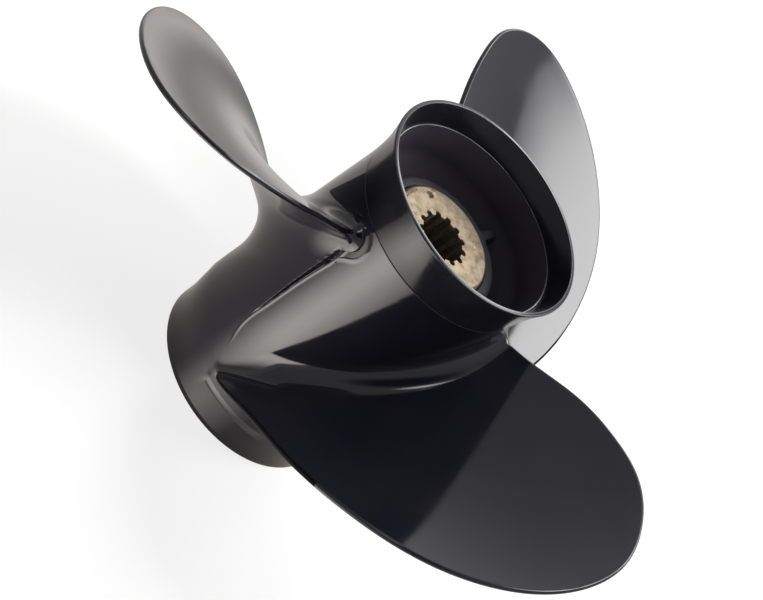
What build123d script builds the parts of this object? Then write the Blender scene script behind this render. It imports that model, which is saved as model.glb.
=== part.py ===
# Three-blade, right-hand outboard propeller with a flared exhaust end and a rubber-cushioned
# splined hub. +Z runs aft along the shaft axis, Z = 0 is the front rim of the barrel and +X is
# the reference line of blade 1. Lengths are in millimetres and angles in degrees.

import os
from math import atan2, cos, hypot, pi, radians, sin

from build123d import *

os.makedirs("parts", exist_ok=True)

# Overall
blade_count = 3
overall_length = 148.6
tip_radius = 155.45

# Barrel: the outer exhaust tube, slightly tapered, with a smaller collar at its front end
barrel_radius = 45.0
barrel_front_radius = 46.8
taper_top = 118.0
barrel_inner_radius = 41.5
collar_radius = 44.6
collar_top = 13.7
collar_bevel_top = 19.0
recess_radius = 42.4
recess_depth = 10.0
spigot_radius = 44.1
spigot_bottom = 125.9
spigot_top = 138.7
mouth_radius = 43.2
mouth_taper_bottom = 124.0
rim_round = 0.4
mouth_round = 0.3

# Diffuser ring: the flared ring pressed over the barrel's aft end
flare_radius = 49.8
flare_lip = 2.0
flare_lip_round = 0.75
ring_bottom_radius = 45.15

# Inner hub and the ribs that carry it inside the barrel
hub_radius = 31.0
hub_bore_radius = 25.2
hub_bottom = 18.0
hub_top = 121.0
hub_round = 3.0
rib_thickness = 5.0
rib_bottom = 22.0
rib_top = 119.0
rib_round = 2.0
rib_angle = 108.1

# Splined brass sleeve and its aft flange
sleeve_radius = 17.5
sleeve_bottom = 14.0
flange_radius = 24.8
flange_top = 122.7
flange_thickness = 6.0
flange_chamfer = 1.3
spline_count = 13
spline_major_radius = 12.65
spline_minor_radius = 10.6
groove_width = 2.9
groove_angle = 7.6
pilot_radius = 14.2
pilot_depth = 10.0

# Marks in the flange's face: a stake, an arc groove and three punch dots
stake_radius = 20.4
stake_angle = -178.5
stake_diameter = 3.6
stake_depth = 1.6
arc_groove_radius = 22.75
arc_groove_width = 0.9
arc_groove_start = -160.0
arc_groove_end = -112.0
arc_groove_depth = 0.6
dot_diameter = 1.4
dot_depth = 0.4
dot_places = ((19.4, 67.7), (18.4, 86.0), (18.4, 98.0))

# Rubber bush between the inner hub and the sleeve
running_clearance = 0.05
rubber_bottom = 22.0
rubber_top = 116.2
rubber_chamfer = 2.0

# Blades: right-hand helix, raked aft and skewed, edges given at shares of the blade's height. The
# aft face rises to the root and is hollow further out; hollow_terms give how hollow, in powers
# of that share, and root_rise lifts the face a little more close to the barrel
pitch = 318.0
root_height = 83.2
rake_terms = (37.3, 8.3, -15.5)
edge_shares = (0.0, 0.15, 0.35, 0.55, 0.73, 0.87, 0.96)
leading_angles = (-66.9, -62.5, -49.0, -37.7, -25.8, -14.4, -3.2)
trailing_angles = (37.9, 36.4, 36.4, 34.4, 30.9, 25.3, 19.2)
tip_angle = 8.8
hollow_terms = (-6.5, 23.8, -16.3, -1.0)
root_rise = 2.0
root_rise_power = 8
root_thickness = 8.0
tip_thickness = 3.2
edge_thickness = 2.4
root_depth = 8.0
section_places = (10, 22, 34, 48, 64, 80, 96, 112, 128, 144, 160)
section_half_width = 72.0
section_points = 13


def polar(radius, angle):
    """Point of the XY plane at a radius and an angle from +X."""
    return (radius * cos(radians(angle)), radius * sin(radians(angle)))


def blade_share(radius):
    """0 at the barrel's surface and 1 at the blade's tip."""
    return (radius - barrel_radius) / (tip_radius - barrel_radius)


def between(share, values):
    """Value at a share of the blade's height, on straight lines between the edge stations."""
    shares = edge_shares + (1.0,)
    share = min(max(share, 0.0), 1.0)
    last = max(i for i in range(len(shares) - 1) if shares[i] <= share)
    part = (share - shares[last]) / (shares[last + 1] - shares[last])
    return values[last] + part * (values[last + 1] - values[last])


def mean_height(x, y):
    """Height of the blade's mean surface: a helix of constant pitch, raked aft."""
    share = max(blade_share(hypot(x, y)), 0.0)
    rake = sum(term * share ** (power + 1) for power, term in enumerate(rake_terms))
    return root_height + rake + pitch * atan2(y, x) / (2 * pi)


def face_offset(x, y, side):
    """Height of the aft face (side 1) or the front face (side -1) over the mean surface."""
    radius = max(hypot(x, y), barrel_radius)
    share = min(blade_share(radius), 1.0)
    start = between(share, leading_angles + (tip_angle,))
    end = between(share, trailing_angles + (tip_angle,))
    middle = (start + end) / 2
    half_width = max((end - start) / 2, 5.0)
    across = (atan2(y, x) * 180 / pi - middle) / half_width
    fullness = max(1 - across**2, 0.0)
    mid_thickness = root_thickness + (tip_thickness - root_thickness) * share
    upright = hypot(1, pitch / (2 * pi * radius))
    hollow = sum(term * share**power for power, term in enumerate(hollow_terms))
    hollow -= root_rise * (1 - share) ** root_rise_power
    if side > 0:
        return edge_thickness / 2 * upright - hollow * fullness
    bulge = (mid_thickness - edge_thickness) * upright + max(hollow, 0.0)
    return -edge_thickness / 2 * upright - bulge * fullness


def section_curve(x, side):
    """Points of a blade section at one x, on its aft side (1) or its front side (-1)."""
    step = 2 * section_half_width / (section_points - 1)
    places = [-section_half_width + step * i for i in range(section_points)]
    return [(y, mean_height(x, y) + face_offset(x, y, side)) for y in places]


# Barrel
with BuildPart() as barrel:
    with BuildSketch(Plane.XZ):
        with BuildLine():
            Polyline(
                (recess_radius, 0),
                (collar_radius, 0),
                (collar_radius, collar_top),
                (barrel_front_radius, collar_bevel_top),
                (barrel_radius, taper_top),
                (barrel_radius, spigot_bottom),
                (spigot_radius, spigot_bottom),
                (spigot_radius, spigot_top),
                (mouth_radius, spigot_top),
                (barrel_inner_radius, mouth_taper_bottom),
                (barrel_inner_radius, recess_depth),
                (recess_radius, recess_depth),
                close=True,
            )
        make_face()
    revolve(axis=Axis.Z)
    front_rim = barrel.edges().group_by(Axis.Z)[0].sort_by(SortBy.RADIUS)[-1]
    aft_rims = barrel.edges().group_by(Axis.Z)[-1]
    fillet(front_rim, radius=rim_round)
    fillet(aft_rims, radius=mouth_round)

barrel.part.label = "barrel"
export_step(barrel.part, "parts/barrel.step")

# Diffuser ring
with BuildPart() as diffuser_ring:
    with BuildSketch(Plane.XZ):
        with BuildLine():
            outside = Spline(
                (ring_bottom_radius, spigot_bottom),
                (flare_radius, overall_length),
                tangents=((0.05, 1), (0.33, 1)),
            )
            inside = Spline(
                (spigot_radius, spigot_top),
                (flare_radius - flare_lip, overall_length),
                tangents=((0.3, 1), (0.38, 1)),
            )
            Line(outside @ 1, inside @ 1)
            Polyline(inside @ 0, (spigot_radius, spigot_bottom), outside @ 0)
        make_face()
    revolve(axis=Axis.Z)
    outer_lip = diffuser_ring.edges().group_by(Axis.Z)[-1].sort_by(SortBy.LENGTH)[-1]
    fillet(outer_lip, radius=flare_lip_round)
    inner_lip = diffuser_ring.edges().group_by(Axis.Z)[-1].sort_by(SortBy.LENGTH)[0]
    fillet(inner_lip, radius=rim_round)

diffuser_ring.part.label = "diffuser_ring"
export_step(diffuser_ring.part, "parts/diffuser_ring.step")

# Inner hub
with BuildPart() as inner_hub:
    with BuildSketch(Plane.XY.offset(hub_bottom)):
        Circle(hub_radius)
        Circle(hub_bore_radius, mode=Mode.SUBTRACT)
    extrude(amount=hub_top - hub_bottom)
    outer_rims = inner_hub.edges().filter_by(GeomType.CIRCLE).sort_by(SortBy.RADIUS)[-2:]
    fillet(outer_rims, radius=hub_round)

inner_hub.part.label = "inner_hub"
export_step(inner_hub.part, "parts/inner_hub.step")

# Ribs: each joins the inner hub to the barrel
for number in range(blade_count):
    direction = rib_angle + number * 360 / blade_count
    with BuildPart() as rib:
        with BuildSketch(Plane.XY.offset(rib_bottom)):
            with Locations(Rotation(0, 0, direction)):
                Rectangle(barrel_radius, rib_thickness, align=(Align.MIN, Align.CENTER))
            Circle(barrel_inner_radius, mode=Mode.INTERSECT)
            Circle(hub_radius, mode=Mode.SUBTRACT)
        extrude(amount=rib_top - rib_bottom)
        ends = rib.edges().filter_by(GeomType.LINE).filter_by(Axis.Z, reverse=True)
        fillet(ends, radius=rib_round)
    rib.part.label = f"rib_{number + 1}"
    export_step(rib.part, f"parts/rib_{number + 1}.step")

# Blade 1, then its turned copies
with BuildPart() as blade:
    for place in section_places:
        plane = Plane(origin=(place, 0, 0), x_dir=(0, 1, 0), z_dir=(1, 0, 0))
        with BuildSketch(plane):
            with BuildLine():
                aft = Spline(section_curve(place, 1))
                front = Spline(section_curve(place, -1))
                Line(aft @ 0, front @ 0)
                Line(aft @ 1, front @ 1)
            make_face()
    loft()
    with BuildSketch():
        radii = [barrel_radius + (tip_radius - barrel_radius) * s for s in edge_shares]
        leading = [polar(r, a) for r, a in zip(radii, leading_angles)]
        trailing = [polar(r, a) for r, a in zip(radii, trailing_angles)]
        with BuildLine():
            edge = Spline(leading + [polar(tip_radius, tip_angle)] + trailing[::-1])
            inner_radius = barrel_radius - root_depth
            Polyline(
                edge @ 1,
                polar(inner_radius, trailing_angles[0]),
                polar(inner_radius, leading_angles[0]),
                edge @ 0,
            )
        make_face()
    extrude(amount=overall_length, mode=Mode.INTERSECT)
    with BuildSketch(Plane.XZ):
        with BuildLine():
            Polyline(
                (0, 0),
                (barrel_front_radius, 0),
                (barrel_front_radius, collar_bevel_top),
                (barrel_radius, taper_top),
                (barrel_radius, overall_length),
                (0, overall_length),
                close=True,
            )
        make_face()
    revolve(axis=Axis.Z, mode=Mode.SUBTRACT)

for number in range(blade_count):
    with BuildPart() as turned_blade:
        add(blade.part, rotation=(0, 0, number * 360 / blade_count))
    turned_blade.part.label = f"blade_{number + 1}"
    export_step(turned_blade.part, f"parts/blade_{number + 1}.step")

# Splined sleeve
with BuildPart() as splined_sleeve:
    with BuildSketch(Plane.XY.offset(sleeve_bottom)):
        Circle(sleeve_radius)
    extrude(amount=flange_top - sleeve_bottom)
    with BuildSketch(Plane.XY.offset(flange_top - flange_thickness)):
        Circle(flange_radius)
    extrude(amount=flange_thickness)
    chamfer(splined_sleeve.edges().group_by(Axis.Z)[-1], length=flange_chamfer)
    with BuildSketch(Plane.XY.offset(sleeve_bottom)):
        Circle(spline_minor_radius)
        groove_length = 2 * groove_width
        middle_radius = spline_major_radius - groove_length / 2
        with PolarLocations(middle_radius, spline_count, start_angle=groove_angle):
            SlotOverall(groove_length, groove_width)
    extrude(amount=flange_top - sleeve_bottom, mode=Mode.SUBTRACT)
    with Locations(Plane.XY.offset(sleeve_bottom)):
        Cylinder(
            pilot_radius,
            pilot_depth,
            align=(Align.CENTER, Align.CENTER, Align.MIN),
            mode=Mode.SUBTRACT,
        )
    with BuildSketch(Plane.XY.offset(flange_top)):
        with Locations(polar(stake_radius, stake_angle)):
            Circle(stake_diameter / 2)
    extrude(amount=-stake_depth, mode=Mode.SUBTRACT)
    with BuildSketch(Plane.XY.offset(flange_top)):
        for radius, angle in dot_places:
            with Locations(polar(radius, angle)):
                Circle(dot_diameter / 2)
    extrude(amount=-dot_depth, mode=Mode.SUBTRACT)
    with BuildSketch(Plane.XY.offset(flange_top)):
        with BuildLine():
            groove_arc = CenterArc(
                (0, 0), arc_groove_radius, arc_groove_start, arc_groove_end - arc_groove_start
            )
        SlotArc(groove_arc, arc_groove_width)
    extrude(amount=-arc_groove_depth, mode=Mode.SUBTRACT)

splined_sleeve.part.label = "splined_sleeve"
export_step(splined_sleeve.part, "parts/splined_sleeve.step")

# Rubber bush
with BuildPart() as rubber_bush:
    with BuildSketch(Plane.XY.offset(rubber_bottom)):
        Circle(hub_bore_radius - running_clearance)
        Circle(sleeve_radius + running_clearance, mode=Mode.SUBTRACT)
    extrude(amount=rubber_top - rubber_bottom)
    outer_edges = rubber_bush.edges().filter_by(GeomType.CIRCLE).sort_by(SortBy.RADIUS)[-2:]
    chamfer(outer_edges, length=rubber_chamfer)

rubber_bush.part.label = "rubber_bush"
export_step(rubber_bush.part, "parts/rubber_bush.step")
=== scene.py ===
import bpy
import numpy as np
from mathutils import Matrix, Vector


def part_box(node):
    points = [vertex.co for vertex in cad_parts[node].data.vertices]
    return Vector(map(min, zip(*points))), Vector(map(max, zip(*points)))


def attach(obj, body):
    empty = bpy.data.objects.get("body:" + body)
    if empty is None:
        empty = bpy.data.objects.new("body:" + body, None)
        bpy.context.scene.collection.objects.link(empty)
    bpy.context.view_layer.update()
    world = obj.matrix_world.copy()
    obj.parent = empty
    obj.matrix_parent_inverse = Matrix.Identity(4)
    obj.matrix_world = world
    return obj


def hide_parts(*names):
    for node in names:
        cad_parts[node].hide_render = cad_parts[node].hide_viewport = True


# Three-blade outboard propeller standing on its front rim, shaft axis along Z, aft end up.
# Lengths in the settings are millimetres, which makePiece turns to metres, and angles are degrees;
# the coats, the floor, the softboxes and the camera are set in metres.

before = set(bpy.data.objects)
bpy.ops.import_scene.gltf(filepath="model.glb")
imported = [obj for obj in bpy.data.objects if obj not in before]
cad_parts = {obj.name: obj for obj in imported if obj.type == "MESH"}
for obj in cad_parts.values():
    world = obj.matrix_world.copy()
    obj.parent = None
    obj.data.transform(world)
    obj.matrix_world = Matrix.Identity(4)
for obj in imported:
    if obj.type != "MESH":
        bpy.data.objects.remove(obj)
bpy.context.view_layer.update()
mm = 0.001


# ---- helpers

def low(node, axis):
    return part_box(node)[0][axis] / mm


def high(node, axis):
    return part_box(node)[1][axis] / mm


def fade(x, start, end):
    # 0 before the start, 1 past the end and 3t^2 - 2t^3 between them; the end may be the lower of the two
    t = np.clip((x - start) / (end - start), 0.0, 1.0)
    return t * t * (3 - 2 * t)


def polar(radius, angle, z):
    # (r cos a, r sin a, z)
    radius, angle, z = np.broadcast_arrays(radius, np.radians(angle), z)
    return np.stack([radius * np.cos(angle), radius * np.sin(angle), z], -1)


def aim(azimuth, elevation):
    # unit direction (cos e cos a, cos e sin a, sin e)
    a, e = np.radians(azimuth), np.radians(elevation)
    return np.cos(e) * np.cos(a), np.cos(e) * np.sin(a), np.sin(e)


def unit(vectors):
    # each vector over its own length
    return vectors / np.linalg.norm(vectors, axis=-1, keepdims=True)


def turned(points, angle):
    # (x cos a - y sin a, x sin a + y cos a, z)
    c, s = np.cos(np.radians(angle)), np.sin(np.radians(angle))
    return points @ np.array([[c, s, 0], [-s, c, 0], [0, 0, 1]])


def lengthsAlong(path):
    # length of the path up to each of its points
    return np.concatenate([[0], np.cumsum(np.linalg.norm(np.diff(path, axis=0), axis=1))])


def throughPoints(knots, values, places):
    # natural cubic: it passes through the values, with no bend at either end
    knots, values = np.asarray(knots, float), np.asarray(values, float)
    steps = np.diff(knots)
    slopes = np.diff(values, axis=0) / steps.reshape(-1, *[1] * (values.ndim - 1))
    system = np.eye(len(knots))
    inner = np.arange(1, len(knots) - 1)
    system[inner, inner - 1] = steps[:-1]
    system[inner, inner] = 2 * (steps[:-1] + steps[1:])
    system[inner, inner + 1] = steps[1:]
    bends = np.zeros_like(values)
    bends[1:-1] = 6 * np.diff(slopes, axis=0)
    bends = np.linalg.solve(system, bends)
    k = np.clip(np.searchsorted(knots, places) - 1, 0, len(steps) - 1)
    h = steps[k]
    a, b = (knots[k + 1] - places) / h, (places - knots[k]) / h
    if values.ndim > 1:
        a, b, h = a[:, None], b[:, None], h[:, None]
    curve = a * values[k] + b * values[k + 1]
    return curve + ((a**3 - a) * bends[k] + (b**3 - b) * bends[k + 1]) * h * h / 6


def gridQuads(index, wrapRows=False, wrapColumns=False):
    # one quad (i j, i j+1, i+1 j+1, i+1 j) for each cell of a 2-D array of vertex numbers
    if wrapColumns:
        index = np.hstack([index, index[:, :1]])
    if wrapRows:
        index = np.vstack([index, index[:1]])
    corners = [index[:-1, :-1], index[:-1, 1:], index[1:, 1:], index[1:, :-1]]
    return np.stack(corners, -1).reshape(-1, 4)


def numbered(points, first=0):
    # vertex numbers of a grid of points
    return first + np.arange(points[..., 0].size).reshape(points.shape[:2])


def closedQuads(points):
    # the quads of a grid of points that closes on itself both ways
    return gridQuads(numbered(points), wrapRows=True, wrapColumns=True)


def makePiece(name, points, faces, body, material, nodes, crease=35.0):
    # mesh in metres that rides on its body and stands for its nodes; edges over the crease stay sharp
    mesh = bpy.data.meshes.new(name)
    mesh.from_pydata((points * mm).tolist(), [], faces)
    mesh.shade_smooth()
    mesh.set_sharp_from_angle(angle=np.radians(crease))
    mesh.materials.append(material)
    piece = bpy.data.objects.new(name, mesh)
    bpy.context.scene.collection.objects.link(piece)
    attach(piece, body)
    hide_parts(*nodes)
    print(f"{name}: {len(points)} points, {len(faces)} faces")
    return piece


def paintFaces(piece, material, chosen):
    # a second material on the faces whose centre (radius, z) in millimetres is chosen
    mesh = piece.data
    centres = np.empty(len(mesh.polygons) * 3)
    mesh.polygons.foreach_get("center", centres)
    x, y, z = centres.reshape(-1, 3).T / mm
    mesh.materials.append(material)
    mesh.polygons.foreach_set("material_index", chosen(np.hypot(x, y), z).astype(np.int32))


def roundArc(start, corner, end, weight, t):
    # ((1 - t)^2 start + 2 w t (1 - t) corner + t^2 end) / ((1 - t)^2 + 2 w t (1 - t) + t^2), a true arc
    # when the weight w is the sine of half of the corner's angle
    a, b, c = (1 - t) ** 2, 2 * weight * t * (1 - t), t**2
    return (a * start + b * corner + c * end) / (a + b + c)


def roundedProfile(corners, arcSteps=6):
    # closed outline (r, z) whose corners are (r, z, radius); each round is an arc tangent to both sides
    corners = np.asarray(corners, float)
    spots, radii = corners[:, :2], corners[:, 2]
    back, ahead = unit(np.roll(spots, 1, 0) - spots), unit(np.roll(spots, -1, 0) - spots)
    half = np.arccos(np.clip((back * ahead).sum(1), -1, 1)) / 2
    reach = radii / np.tan(half)
    t = np.linspace(0, 1, arcSteps + 1)[None, :, None]
    start = (spots + back * reach[:, None])[:, None]
    end = (spots + ahead * reach[:, None])[:, None]
    arcs = roundArc(start, spots[:, None], end, np.sin(half)[:, None, None], t)
    path = [arc if radius > 0 else arc[:1] for arc, radius in zip(arcs, radii)]
    return np.vstack(path)


def spreadOut(path, longest):
    # the same closed outline with every side a + (b - a) i / n cut so that no step is over the longest
    ends = np.roll(path, -1, 0)
    counts = np.maximum(np.ceil(np.linalg.norm(ends - path, axis=1) / longest), 1).astype(int)
    cuts = [a + (b - a) * np.arange(n)[:, None] / n for a, b, n in zip(path, ends, counts)]
    return np.vstack(cuts)


def revolved(profile, columns):
    # every profile point (r, z) carried round Z: (r cos a, r sin a, z)
    angles = np.arange(columns) * 360 / columns
    points = polar(profile[:, :1], angles[None, :], profile[:, 1:])
    return points.reshape(-1, 3), closedQuads(points)


# ---- materials

def feed(tree, socket, value):
    # a socket takes another node's output, a number, a vector or a colour
    if isinstance(value, bpy.types.NodeSocket):
        tree.links.new(value, socket)
    elif socket.type == "RGBA":
        socket.default_value = (*value, 1)
    else:
        socket.default_value = value


def node(tree, kind, *values, **named):
    # new node: named values go to its properties and sockets, the others to its sockets in order
    made = tree.nodes.new(kind)
    for key, value in named.items():
        if key in made.inputs:
            feed(tree, made.inputs[key], value)
        else:
            setattr(made, key, value)
    for socket, value in zip(made.inputs, values):
        feed(tree, socket, value)
    return made


def math(tree, operation, *values):
    return node(tree, "ShaderNodeMath", *values, operation=operation).outputs[0]


def vectorMath(tree, operation, *values):
    return node(tree, "ShaderNodeVectorMath", *values, operation=operation)


def coordinates(tree, space="Object"):
    return node(tree, "ShaderNodeTexCoord").outputs[space]


def noise(tree, scale, detail, roughness=0.5, vector=None):
    made = node(tree, "ShaderNodeTexNoise", Vector=vector or coordinates(tree), Scale=scale,
                Detail=detail, Roughness=roughness)
    return made.outputs["Fac"]


def spread(tree, value, fromLow, fromHigh, toLow=0.0, toHigh=1.0):
    # straight line from toLow at fromLow to toHigh at fromHigh, held past both
    return node(tree, "ShaderNodeMapRange", value, fromLow, fromHigh, toLow, toHigh).outputs[0]


def mix(tree, share, first, second, kind="RGBA"):
    # first where the share is 0 and second where it is 1
    made = node(tree, "ShaderNodeMix", data_type=kind, Factor=share, A=first, B=second)
    return made.outputs["Result"]


def bump(tree, height, depth, strength, **before):
    made = node(tree, "ShaderNodeBump", Strength=strength, Distance=depth, Height=height, **before)
    return made.outputs["Normal"]


def newMaterial(name):
    material = bpy.data.materials.new(name)
    material.use_nodes = True
    return material, material.node_tree


def feedShader(tree, values, shader="Principled BSDF"):
    # values for the shader's own sockets
    for name, value in values.items():
        feed(tree, tree.nodes[shader].inputs[name], value)


def patchy(tree, clouds, coat):
    # colour and roughness that go from one value to the other with the clouds, between their edges
    colour = mix(tree, spread(tree, clouds, *coat["cloudEdges"]), *coat["colours"])
    roughness = spread(tree, clouds, *coat.get("glossEdges", (0.3, 0.7)), *coat["roughness"])
    return {"Base Color": colour, "Roughness": roughness}


# in the coats a noise is (scale, detail, roughness) and a bump is (depth, strength)
enamel = {
    "colours": ((0.0088, 0.0090, 0.0155), (0.0118, 0.0118, 0.0172)),
    "roughness": (0.075, 0.12),
    "clouds": (35.0, 3.0, 0.5),
    "cloudEdges": (0.35, 0.7),
    "swells": (60.0, 1.5, 0.5),
    "swellBump": (0.00004, 1.0),
    "peel": (420.0, 2.0, 0.5),
    "peelBump": (0.000004, 1.0),
}


def glossEnamel():
    # black enamel: fine orange peel over slow casting swells, and a slow change of gloss
    material, tree = newMaterial("gloss_black_paint")
    swells = bump(tree, noise(tree, *enamel["swells"]), *enamel["swellBump"])
    peel = bump(tree, noise(tree, *enamel["peel"]), *enamel["peelBump"], Normal=swells)
    looks = patchy(tree, noise(tree, *enamel["clouds"]), enamel)
    feedShader(tree, looks | {"IOR": 1.5, "Normal": peel})
    return material


satin = {
    "colours": ((0.0105, 0.0105, 0.016), (0.017, 0.016, 0.019)),
    "roughness": (0.13, 0.22),
    "specular": 0.27,
    "clouds": (55.0, 4.0, 0.6),
    "cloudEdges": (0.4, 0.65),
    "glossEdges": (0.35, 0.65),
    "lineScales": (20.0, 20.0, 900.0),
    "lines": (1.0, 2.0, 0.5),
    "lineBump": (0.00002, 0.5),
}


def satinEnamel():
    # the ring's thinner coat: duller than the rest, with cloudy patches and faint lines round the axis
    material, tree = newMaterial("satin_black_paint")
    squeezed = vectorMath(tree, "MULTIPLY", coordinates(tree), satin["lineScales"]).outputs[0]
    lines = bump(tree, noise(tree, *satin["lines"], squeezed), *satin["lineBump"])
    looks = patchy(tree, noise(tree, *satin["clouds"]), satin)
    feedShader(tree, looks | {"Specular IOR Level": satin["specular"], "Normal": lines})
    return material


dryCoat = {
    "roughness": (0.4, 0.55),
    "clouds": (45.0, 4.0, 0.6),
    "cloudEdges": (0.4, 0.7),
    "grain": (900.0, 3.0, 0.5),
    "grainBump": (0.00002, 0.6),
}
# the bore's coat is paler than the other black coats, and paler still deep down: painted fill light
# inside the bore
paintedFillBoreCoat = dryCoat | {
    "colours": ((0.045, 0.042, 0.058), (0.06, 0.056, 0.072)),
    "specular": 0.25,
    "paintedFill": (0.4, 0.375, 0.44),
    "paintedFillHeights": (0.124, 0.095),
}
# the inner hub's and the ribs' coat is darker and less glossy than the bore's: painted shade at the
# bottom of the bore
shadedHubCoat = dryCoat | {"colours": ((0.024, 0.023, 0.03), (0.032, 0.03, 0.038)), "specular": 0.15}
# near-black, with almost no gloss: painted shade for the leading edge's rim near the root
shadedEdgeCoat = dryCoat | {
    "colours": ((0.004, 0.004, 0.005), (0.006, 0.006, 0.0075)),
    "roughness": (0.5, 0.6),
    "specular": 0.03,
}


def dryEnamel(name, coat):
    # thin dry coat: grainy, with slow paler clouds; where it has a painted fill, a pale colour covers it
    # more and more towards the front, as painted light deep in the bore
    material, tree = newMaterial(name)
    looks = patchy(tree, noise(tree, *coat["clouds"]), coat)
    if "paintedFill" in coat:
        height = node(tree, "ShaderNodeSeparateXYZ", coordinates(tree)).outputs["Z"]
        paintedFillShare = spread(tree, height, *coat["paintedFillHeights"])
        looks["Base Color"] = mix(tree, paintedFillShare, looks["Base Color"], coat["paintedFill"])
    grain = bump(tree, noise(tree, *coat["grain"]), *coat["grainBump"])
    feedShader(tree, looks | {"Specular IOR Level": coat["specular"], "Normal": grain})
    return material


brass = {
    "colours": ((0.31, 0.245, 0.17), (0.16, 0.12, 0.078)),
    "roughness": (0.40, 0.60),
    "metallic": 0.7,
    "clouds": (260.0, 5.0, 0.62),
    "cloudEdges": (0.42, 0.72),
    "specks": (1500.0, 3.0, 0.6),
    "speckBump": (0.00002, 0.6),
}
# darker, less metallic brass for the spline's bore: painted shade
shadedSplineBrass = {
    "colours": ((0.2, 0.165, 0.13), (0.085, 0.07, 0.055)),
    "roughness": (0.3, 0.45),
    "metallic": 0.3,
    "clouds": (300.0, 4.0, 0.6),
    "cloudEdges": (0.4, 0.7),
    "cloudBump": (0.00002, 0.5),
}


def dullBrass():
    # machined brass gone dull: blotches and fine specks
    material, tree = newMaterial("sleeve_brass")
    specks = bump(tree, noise(tree, *brass["specks"]), *brass["speckBump"])
    looks = patchy(tree, noise(tree, *brass["clouds"]), brass)
    feedShader(tree, looks | {"Metallic": brass["metallic"], "Normal": specks})
    return material


def shadedBrass():
    # brass of the spline's teeth, darker and less metallic than the flange's: painted shade down the
    # bore, blotched and faintly dented
    material, tree = newMaterial("sleeve_brass_painted_shade")
    clouds = noise(tree, *shadedSplineBrass["clouds"])
    dents = bump(tree, clouds, *shadedSplineBrass["cloudBump"])
    looks = patchy(tree, clouds, shadedSplineBrass)
    feedShader(tree, looks | {"Metallic": shadedSplineBrass["metallic"], "Normal": dents})
    return material


rubber = {
    "colours": ((0.02, 0.02, 0.02), (0.035, 0.034, 0.033)),
    "roughness": (0.6, 0.75),
    "clouds": (900.0, 3.0, 0.5),
    "cloudEdges": (0.3, 0.7),
    "cloudBump": (0.00003, 0.5),
}


def bushRubber():
    # matte moulded rubber with a fine grain
    material, tree = newMaterial("bush_rubber")
    grain = noise(tree, *rubber["clouds"])
    feedShader(tree, patchy(tree, grain, rubber) | {"Normal": bump(tree, grain, *rubber["cloudBump"])})
    return material


paintMaterial = glossEnamel()
satinMaterial = satinEnamel()
paintedFillBoreMaterial = dryEnamel("inside_black_paint_painted_fill", paintedFillBoreCoat)
shadedHubMaterial = dryEnamel("hub_black_paint_painted_shade", shadedHubCoat)
shadedEdgeMaterial = dryEnamel("edge_black_paint_painted_shade", shadedEdgeCoat)
brassMaterial = dullBrass()
shadedSplineMaterial = shadedBrass()
rubberMaterial = bushRubber()
print("materials made")


# ---- barrel

barrel = {
    "radius": 45.0,
    "spigotBottom": 125.9,
    "spigotRadius": 44.1,
    "innerRadius": 41.5,
    "recessRadius": 42.4,
    "recessDepth": 10.0,
    "mouthRadius": 43.2,
    "mouthTaper": 124.0,
    "collarTop": 13.7,
    "bevelTop": 19.0,
    "collarDrop": 2.2,
    "taperTop": 118.0,
    "ridgeHeights": (24.2, 35.1, 46.1, 60.0, 74.2, 92.3, 107.2, 113.6, 120.2),
    "ridgeAngles": (53.2, 45.6, 40.2, 39.4, 39.4, 40.1, 40.5, 39.3, 37.5),
    "beadHeight": 0.3,
    "beadWidth": 0.4,
    "beadStart": (34.0, 48.0),
    "beadEnd": (121.0, 118.0),
    "slitHeights": (52.0, 72.0, 98.0, 112.0, 120.0),
    "slitDepths": (0.0, 1.3, 2.2, 2.2, 0.0),
    "slitWidths": (0.4, 1.3, 2.4, 2.4, 0.8),
    "slitStart": 0.4,
    "slitEdge": (0.12, 0.2, 0.35),
    "softDrop": (30.0, 4.0),
    "crispStart": (-4.0, 0.0),
    "crispEnd": (46.0, 36.0),
    "fineColumns": (-5.4, 1.3, 0.13),
    "wideColumns": 64,
    "bunching": 0.13,
    "frontRound": 0.45,
    "shoulderRound": 0.35,
}
barrelRadius = barrel["radius"]
frontRadius = high("barrel", 0)
barrelTop = high("barrel", 2)
bladeCount = 3
sector = 360 / bladeCount


def ridgeAngle(z):
    # angle of the parting ridge at a height, held at its end values past both ends
    heights = barrel["ridgeHeights"]
    held = np.clip(z, heights[0], heights[-1])
    return throughPoints(heights, barrel["ridgeAngles"], held.ravel()).reshape(np.shape(z))


def barrelTaper(z):
    # how much wider the barrel is towards its front, in a straight line from the taper's top
    part = np.clip((barrel["taperTop"] - z) / (barrel["taperTop"] - barrel["bevelTop"]), 0, 1)
    return (frontRadius - barrelRadius) * part


def barrelRise(angle, z, ridged=1.0):
    # height of the barrel's skin over its tapered radius: along each ridge a bead exp(-(s / w)^2 / 2) and
    # beside it a deep slit 4 q (1 - q) with a raised edge; and the drop to the collar at the front, which
    # is crisp after a ridge and smooth before the next
    b = barrel
    angle, z = np.broadcast_arrays(np.asarray(angle, float), np.asarray(z, float))
    past = (angle - ridgeAngle(z) + sector / 2) % sector - sector / 2
    s = np.radians(past) * barrelRadius
    ends = fade(z, *b["beadStart"]) * fade(z, *b["beadEnd"])
    rise = b["beadHeight"] * ends * np.exp(-((s / b["beadWidth"]) ** 2) / 2)
    depth = np.interp(z, b["slitHeights"], b["slitDepths"])
    width = np.interp(z, b["slitHeights"], b["slitWidths"])
    q = np.clip((-s - b["slitStart"]) / width, 0, 1)
    edgeHeight, edgeAway, edgeWidth = b["slitEdge"]
    beyond = (-s - b["slitStart"] - edgeAway - width) / edgeWidth
    rise = rise - depth * 4 * q * (1 - q)
    rise = (rise + edgeHeight * np.minimum(depth, 1) * np.exp(-(beyond**2) / 2)) * ridged
    crisp = np.clip((b["bevelTop"] - z) / (b["bevelTop"] - b["collarTop"]), 0, 1)
    smooth = fade(z, *b["softDrop"])
    share = fade(past, *b["crispStart"]) * fade(past, *b["crispEnd"])
    return rise - b["collarDrop"] * (crisp * share + smooth * (1 - share))


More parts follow.
